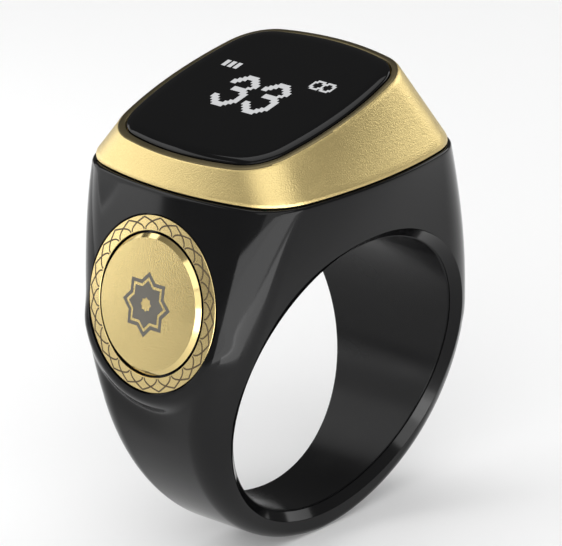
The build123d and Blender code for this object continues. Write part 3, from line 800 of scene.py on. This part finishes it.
# The plate's plane as a placing matrix: across, up and out of the boss face
boss_face = Matrix((Vector((0, -1, 0)), button_up, -button_in)).transposed().to_4x4()
boss_face.translation = button_centre

lacquer_brown = finish(
    "lacquer_brown", dark=(0.055, 0.036, 0.014), light=(0.085, 0.058, 0.024), rough=(0.4, 0.55),
    grain_size=0.03 * mm, smudge_size=1 * mm, Metallic=0.3,
)
arch_low, arch_high = -plate_front - arch_depth, -plate_front + arch_lift
arches = ribbon("engraved_arches", arch_points(), arch_line, arch_low, arch_high)
tree, count_socket, pitch_socket = round_pattern(lacquer_brown)
pattern = arches.modifiers.new("arches", "NODES")
pattern.node_group = tree
pattern[count_socket] = arch_count
pattern[pitch_socket] = arch_pitch
settle(arches)
for point in arches.data.vertices:
    point.co.z -= plate_slope * (math.hypot(point.co.x, point.co.y) - plate_inner)
arches.data.transform(boss_face)
dressed(arches, lacquer_brown, "body", "satin_gold")

# Push button
# A slightly domed cap of gold-coloured metal with a polished bevel, held by its flange under the trim plate
# and proud of it. A dark eight-pointed star of two crossed squares is printed in the middle.
cap_radius, cap_front = 4.68 * mm, -0.48 * mm
bevel_width = 0.28 * mm
flange_radius, flange_front, flange_back = 5.3 * mm, 0.7 * mm, 1.0 * mm
post_radius, post_tip = 0.6 * mm, 1.2 * mm
face_radius, face_dome = cap_radius - bevel_width, 0.2 * mm
cap_profile = [(face_radius * share, cap_front + face_dome * share**2) for share in np.linspace(0, 1, 12)]
cap_profile.append((cap_radius, cap_front + face_dome + bevel_width))
cap_profile += [(cap_radius, flange_front), (flange_radius, flange_front), (flange_radius, flange_back)]
cap_profile += [(post_radius, flange_back), (post_radius, post_tip), (0, post_tip)]
cap = smoothed(turned("push_button", cap_profile), crease=30)
polished_gold = finish(
    "polished_gold", dark=(0.64, 0.5, 0.22), light=(0.70, 0.55, 0.25), rough=(0.1, 0.16),
    grain_size=0.05 * mm, smudge_size=3 * mm, Metallic=1.0,
)
satin_gold = finish(
    "satin_gold", dark=(0.52, 0.408, 0.178), light=(0.62, 0.49, 0.22), rough=(0.24, 0.28),
    grain_size=0.1 * mm, smudge_size=6 * mm, bump=0.32, grain_share=0.6, Metallic=1.0,
)
dressed(cap, satin_gold, "button", "satin_gold", "button_cap")
part_painted(cap, polished_gold, lambda radius, depth: radius > cap_radius - bevel_width)
# The cap's side wall, down in the gap under the plate, is painted black: painted shade for the gap.
part_painted(cap, piano_black, lambda radius, depth: radius > cap_radius - paint_margin)
repaint(black_rubber, "button_seal")

star_lift = 0.012 * mm
star_points = 8
star_step = 180 / star_points
star_waist = math.cos(math.radians(2 * star_step)) / math.cos(math.radians(star_step))
star_bands = [(2.2 * mm, 1.86 * mm), (1.6 * mm, 0.5 * mm)]


def star_loop(radius, lift):
    """Outline of two crossed squares on the domed face, points and waists in turn."""
    loop = []
    for step in range(2 * star_points):
        turn = math.radians(star_step * step)
        reach = radius if step % 2 == 0 else radius * star_waist
        level = lift - cap_front - face_dome * (reach / face_radius) ** 2
        loop.append((reach * math.sin(turn), reach * math.cos(turn), level))
    return loop


star_grids = []
for outer, inner in star_bands:
    low, high = -star_lift, star_lift
    rows = [star_loop(outer, low), star_loop(outer, high), star_loop(inner, high), star_loop(inner, low)]
    star_grids.append((rows, True, True))
star = sewn_piece("printed_star", star_grids)
star.data.transform(boss_face)
star_print = finish(
    "star_print", dark=(0.085, 0.078, 0.065), light=(0.105, 0.097, 0.082), rough=(0.45, 0.6),
    grain_size=0.03 * mm, smudge_size=1 * mm, Metallic=0.2,
)
dressed(star, star_print, "button", "satin_gold")

# Works inside
# Display panel and flexes, circuit board with its chips, battery, vibration motor and the switch behind
# the button, all hidden in the closed ring. They keep their solids and take the finish of such parts.
panel_face = finish(
    "panel_face", dark=(0.01, 0.011, 0.014), light=(0.016, 0.017, 0.02), rough=(0.1, 0.2),
    grain_size=0.05 * mm, smudge_size=3 * mm,
)
amber_film = finish(
    "amber_film", dark=(0.36, 0.15, 0.02), light=(0.48, 0.22, 0.04), rough=(0.25, 0.4),
    grain_size=0.05 * mm, smudge_size=2 * mm,
)
board_lacquer = finish(
    "board_lacquer", dark=(0.01, 0.09, 0.035), light=(0.02, 0.13, 0.05), rough=(0.3, 0.45),
    grain_size=0.06 * mm, smudge_size=3 * mm, bump=0.1,
)
chip_resin = finish(
    "chip_resin", dark=(0.012, 0.012, 0.013), light=(0.022, 0.022, 0.024), rough=(0.5, 0.7),
    grain_size=0.04 * mm, smudge_size=1 * mm, bump=0.2,
)
grey_moulding = finish(
    "grey_moulding", dark=(0.05, 0.05, 0.055), light=(0.075, 0.075, 0.08), rough=(0.45, 0.6),
    grain_size=0.05 * mm, smudge_size=2 * mm, bump=0.1,
)
bright_steel = finish(
    "bright_steel", dark=(0.52, 0.52, 0.54), light=(0.66, 0.66, 0.68), rough=(0.22, 0.36),
    grain_size=0.03 * mm, smudge_size=2 * mm, bump=0.05, Metallic=1.0,
)
cell_foil = finish(
    "cell_foil", dark=(0.55, 0.56, 0.58), light=(0.68, 0.69, 0.71), rough=(0.3, 0.5),
    grain_size=0.1 * mm, smudge_size=2 * mm, bump=0.2, Metallic=0.8,
)
glue_film = finish(
    "glue_film", dark=(0.02, 0.02, 0.02), light=(0.035, 0.035, 0.035), rough=(0.5, 0.65),
    grain_size=0.05 * mm, smudge_size=2 * mm,
)
repaint(panel_face, "oled_panel")
repaint(amber_film, "oled_flex", "charge_flex", "switch_flex")
repaint(board_lacquer, "main_board", "motor_base")
chip_names = ("controller_chip", "board_components", "flex_connector", "switch_base")
repaint(chip_resin, *chip_names, "switch_plunger")
repaint(grey_moulding, "inner_frame", "battery_pad")
steel_names = ("frame_screws", "battery_tabs", "motor_can", "motor_shaft", "motor_weight", "motor_rotor")
repaint(bright_steel, *steel_names, "switch_cover", "switch_bracket")
repaint(cell_foil, "battery_cell")
repaint(glue_film, "glass_adhesive")

# Snap dome of the switch
# A thin domed spring, pressed from steel sheet, whose rim stands on the switch's base. The plunger rests
# on it. The real dome snaps almost flat as the button goes in; here it is made at rest only.
dome_radius, dome_sheet, dome_pressed = 1.15 * mm, 0.06 * mm, 0.22
dome_points = np.array([point.co for point in frame["nodes"]["switch_dome"].data.vertices])
dome_depths = (dome_points - np.array(button_centre)) @ np.array(button_in)
dome_top, dome_foot = dome_depths.min(), dome_depths.max()
dome_rise = dome_foot - dome_top
dome_curve = (dome_radius**2 + dome_rise**2) / (2 * dome_rise)
hollow_curve = dome_curve - dome_sheet
hollow_radius = math.sqrt(hollow_curve**2 - (dome_curve - dome_rise) ** 2)
dome_steps = 16
outer_radii = np.linspace(0, dome_radius, dome_steps)
hollow_radii = np.linspace(hollow_radius, 0, dome_steps)
dome_profile = []
for curve, radii in ((dome_curve, outer_radii), (hollow_curve, hollow_radii)):
    dome_profile += [(radius, dome_top + dome_curve - math.sqrt(curve**2 - radius**2)) for radius in radii]
dome = smoothed(turned("snap_dome", dome_profile, steps=96), crease=40)
dressed(dome, bright_steel, "body", "steel", "switch_dome")
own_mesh(dome)

# Floor and studio light
# A wide pale floor under the ring, large soft lamps round it, two low cards on the floor and a soft sky.
# None of it belongs to the object.
floor_size, floor_grey, floor_rough = 4.0, 0.91, 0.9
floor_mesh = bpy.data.meshes.new("floor")
reach = floor_size / 2
floor_level = cad_low.z
floor_corners = [(-reach, -reach), (reach, -reach), (reach, reach), (-reach, reach)]
floor_mesh.from_pydata([(x, y, floor_level) for x, y in floor_corners], [], [(0, 1, 2, 3)])
floor = bpy.data.objects.new("floor", floor_mesh)
bpy.context.scene.collection.objects.link(floor)
floor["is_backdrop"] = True
floor_paint = bpy.data.materials.new("floor_paint")
floor_paint.use_nodes = True
floor_shader = floor_paint.node_tree.nodes["Principled BSDF"]
floor_shader.inputs["Base Color"].default_value = (floor_grey, floor_grey, floor_grey, 1)
floor_shader.inputs["Roughness"].default_value = floor_rough
floor_shader.inputs["Specular IOR Level"].default_value = 0.0
floor_mesh.materials.append(floor_paint)

# The sky is pale towards one side and dim towards the other
sky_bright_way = (-0.64, -0.64, 0.42)
sky_dim, sky_bright = 0.05, 0.45
world = bpy.data.worlds.new("studio")
bpy.context.scene.world = world
world.use_nodes = True
sky_nodes, sky_links = world.node_tree.nodes, world.node_tree.links
sky_way = sky_nodes.new("ShaderNodeTexCoord")
sky_side = sky_nodes.new("ShaderNodeVectorMath")
sky_side.operation = "DOT_PRODUCT"
sky_side.inputs[1].default_value = sky_bright_way
sky_level = sky_nodes.new("ShaderNodeMapRange")
sky_level.inputs["From Min"].default_value, sky_level.inputs["From Max"].default_value = -1, 1
sky_level.inputs["To Min"].default_value = sky_dim
sky_level.inputs["To Max"].default_value = sky_bright
sky_links.new(sky_way.outputs["Generated"], sky_side.inputs[0])
sky_links.new(sky_side.outputs["Value"], sky_level.inputs["Value"])
sky_links.new(sky_level.outputs["Result"], sky_nodes["Background"].inputs["Strength"])
sky_nodes["Background"].inputs["Color"].default_value = (1, 1, 1, 1)


def bearing(azimuth, elevation):
    """Unit vector towards a place round the ring, in degrees from the front and above the level."""
    turn, lift = math.radians(azimuth), math.radians(elevation)
    return Vector((math.sin(turn) * math.cos(lift), -math.cos(turn) * math.cos(lift), math.sin(lift)))


lamp_aim = Vector((0, 0, 4 * mm))


def softbox(name, azimuth, elevation, distance, width, height, level):
    """Soft rectangular lamp facing the ring, sized in millimetres, as bright as white paper at level 1."""
    lamp = bpy.data.lights.new(name, "AREA")
    lamp.shape = "RECTANGLE"
    lamp.size, lamp.size_y = width * mm, height * mm
    lamp.energy = level * math.pi * lamp.size * lamp.size_y
    box = bpy.data.objects.new(name, lamp)
    bpy.context.scene.collection.objects.link(box)
    way = bearing(azimuth, elevation)
    box.location = lamp_aim + way * distance * mm
    box.rotation_euler = way.to_track_quat("Z", "Y").to_euler()
    box.visible_camera = False
    return box


# Each lamp's azimuth, elevation, distance, width, height and level
softbox("camera_box", -48, 50, 620, 620, 380, 1.6)
softbox("front_box", -46, 19, 440, 230, 190, 1.2)
softbox("back_left_box", -156, 40, 320, 220, 120, 2.3)
softbox("left_box", -158, 18, 200, 220, 90, 1.4)
softbox("low_left_box", -161, 4, 91, 110, 16, 2.15)
softbox("right_box", 77, 25, 320, 220, 180, 2.7)
softbox("top_box", 136, 70, 200, 150, 110, 1.8)
near_card = softbox("near_card", -30, 0, 43, 34, 10, 4.0)
far_card = softbox("far_card", -41, 0, 72, 124, 31, 4.0)
for card in (near_card, far_card):
    card.location.z = floor_level + card.data.size_y / 2

# Camera
# It looks from the photograph's angle through a long lens, a little rolled and shifted.
camera_azimuth, camera_elevation = -43.915, 21.03
camera_roll = math.radians(-3.419)
camera_distance = 385.4 * mm
camera_aim = Vector((0.096, 0, 5.863)) * mm
image_width, image_height = 562, 546
focal_pixels = 5763
optical_centre = (280.26, 274.26)
back = bearing(camera_azimuth, camera_elevation)
level = bearing(camera_azimuth + 90, 0)
rise = back.cross(level)
right = level * math.cos(camera_roll) + rise * math.sin(camera_roll)
upward = rise * math.cos(camera_roll) - level * math.sin(camera_roll)
lens = bpy.data.cameras.new("camera")
lens.sensor_width = 36
lens.lens = focal_pixels * lens.sensor_width / image_width
lens.shift_x = (image_width / 2 - optical_centre[0]) / image_width
lens.shift_y = (optical_centre[1] - image_height / 2) / image_width
lens.clip_start, lens.clip_end = 0.01, 50
camera = bpy.data.objects.new("camera", lens)
bpy.context.scene.collection.objects.link(camera)
camera.matrix_world = Matrix((right, upward, back)).transposed().to_4x4()
camera.location = camera_aim + back * camera_distance
bpy.context.scene.camera = camera
bpy.context.scene.view_settings.view_transform = "Standard"

# Size of the solids and of the dressed model
low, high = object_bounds()
